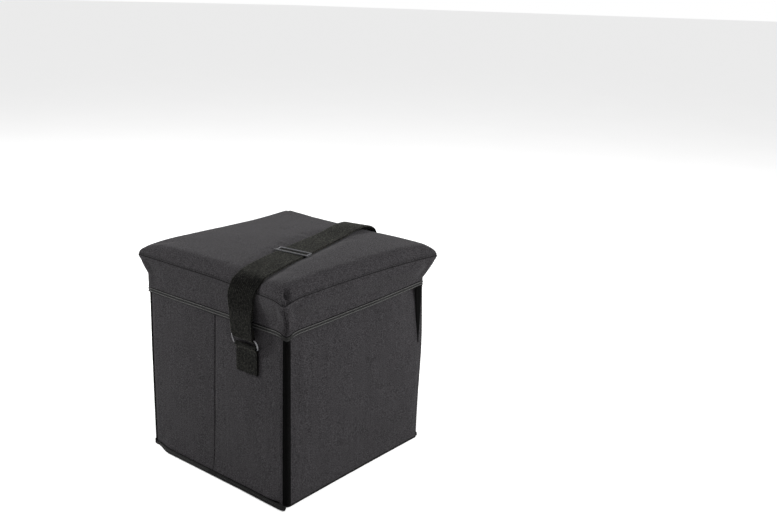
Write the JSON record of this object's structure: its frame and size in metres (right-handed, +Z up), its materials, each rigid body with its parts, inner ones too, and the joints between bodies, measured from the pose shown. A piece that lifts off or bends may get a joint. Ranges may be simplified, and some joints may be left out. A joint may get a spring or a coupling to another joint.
{
  "type": "insulated food carrier",
  "caption": "Cube-shaped soft insulated carrier with creased folding side walls, flip-up bottom, silver liner, lift-off padded seat lid and a shoulder strap lying over the lid.",
  "frame": {"origin": "centre of the footprint on the floor, at the underside of the bottom panel", "axes": "+Z up; -Y is the plain front wall, on the ring side; +Y the plain back wall; -X and +X the creased walls that carry the strap rings"},
  "size_m": [0.3759, 0.35, 0.3853],
  "materials": {
    "canvas": "matt woven polyester",
    "binding": "ribbed binding tape, slight sheen",
    "webbing": "ribbed webbing",
    "lining": "matt thin cloth",
    "board": "plain fibreboard",
    "foam": "open-cell foam",
    "liner": "silver-grey film, satin",
    "wire": "plated wire",
    "adjuster": "satin black"
  },
  "bodies": {
    "front_wall": {"front_shell": "canvas", "front_board": "board", "front_foam": "foam", "front_liner": "liner", "front_rim_tape": "binding", "front_base_tape": "binding", "corner_strip_front_left": "canvas", "corner_strip_front_right": "canvas"},
    "left_front_leaf": {"left_front_shell": "canvas", "left_front_board": "board", "left_front_foam": "foam", "left_front_liner": "liner", "left_front_rim_tape": "binding", "left_front_base_tape": "binding", "left_tab": "webbing"},
    "left_rear_leaf": {"left_rear_shell": "canvas", "left_rear_board": "board", "left_rear_foam": "foam", "left_rear_liner": "liner", "left_rear_rim_tape": "binding", "left_rear_base_tape": "binding"},
    "back_wall": {"back_shell": "canvas", "back_board": "board", "back_foam": "foam", "back_liner": "liner", "back_rim_tape": "binding", "back_base_tape": "binding", "corner_strip_rear_left": "canvas", "corner_strip_rear_right": "canvas"},
    "right_front_leaf": {"right_front_shell": "canvas", "right_front_board": "board", "right_front_foam": "foam", "right_front_liner": "liner", "right_front_rim_tape": "binding", "right_front_base_tape": "binding", "right_tab": "webbing"},
    "right_rear_leaf": {"right_rear_shell": "canvas", "right_rear_board": "board", "right_rear_foam": "foam", "right_rear_liner": "liner", "right_rear_rim_tape": "binding", "right_rear_base_tape": "binding"},
    "bottom_panel": {"bottom_fabric": "canvas", "bottom_board": "board", "bottom_foam": "foam", "bottom_liner": "liner"},
    "lid": {"lid_top_cover": "canvas", "lid_foam_pad": "foam", "lid_board": "board", "lid_lining": "lining", "lid_skirt": "canvas", "lid_skirt_tape": "binding", "shoulder_strap": "webbing"},
    "adjuster": {"strap_adjuster": "adjuster"},
    "left_ring_link": {"left_ring": "wire", "left_strap_end": "webbing"},
    "right_ring_link": {"right_ring": "wire", "right_strap_end": "webbing"}
  },
  "joints": [
    {"name": "left_front_fold", "type": "hinge", "parent": "front_wall", "child": "left_front_leaf", "pos_m": [-0.15465, -0.1488, 0.175], "axis": [0, 0, -1], "range_deg": [0, 80]},
    {"name": "left_crease_fold", "type": "hinge", "parent": "left_front_leaf", "child": "left_rear_leaf", "pos_m": [-0.16515, 0, 0.175], "axis": [0, 0, 1], "range_deg": [0, 160]},
    {"name": "back_fold", "type": "hinge", "parent": "left_rear_leaf", "child": "back_wall", "pos_m": [-0.15465, 0.1488, 0.175], "axis": [0, 0, -1], "range_deg": [0, 80]},
    {"name": "right_front_fold", "type": "hinge", "parent": "front_wall", "child": "right_front_leaf", "pos_m": [0.15465, -0.1488, 0.175], "axis": [0, 0, 1], "range_deg": [0, 80]},
    {"name": "right_crease_fold", "type": "hinge", "parent": "right_front_leaf", "child": "right_rear_leaf", "pos_m": [0.16515, 0, 0.175], "axis": [0, 0, -1], "range_deg": [0, 160]},
    {"name": "bottom_flip", "type": "hinge", "parent": "front_wall", "child": "bottom_panel", "pos_m": [0, -0.1545, 0.0054], "axis": [1, 0, 0], "range_deg": [0, 90]},
    {"name": "lid_lift", "type": "slide", "parent": "front_wall", "child": "lid", "axis": [0, 0, 1], "range_m": [0, 0.2]},
    {"name": "adjuster_slide", "type": "slide", "parent": "lid", "child": "adjuster", "axis": [0.9833, 0.1819, 0], "range_m": [-0.07, 0.095]},
    {"name": "left_ring_swing", "type": "hinge", "parent": "left_front_leaf", "child": "left_ring_link", "pos_m": [-0.1688, -0.081, 0.251], "axis": [0, -1, 0], "range_deg": [0, 25]},
    {"name": "right_ring_swing", "type": "hinge", "parent": "right_front_leaf", "child": "right_ring_link", "pos_m": [0.1688, -0.081, 0.251], "axis": [0, 1, 0], "range_deg": [0, 25]}
  ],
  "couplings": [
    {"joint": "left_crease_fold", "follows": "left_front_fold", "ratio": 2},
    {"joint": "back_fold", "follows": "left_front_fold", "ratio": 1},
    {"joint": "right_front_fold", "follows": "left_front_fold", "ratio": 1},
    {"joint": "right_crease_fold", "follows": "left_front_fold", "ratio": 2}
  ]
}
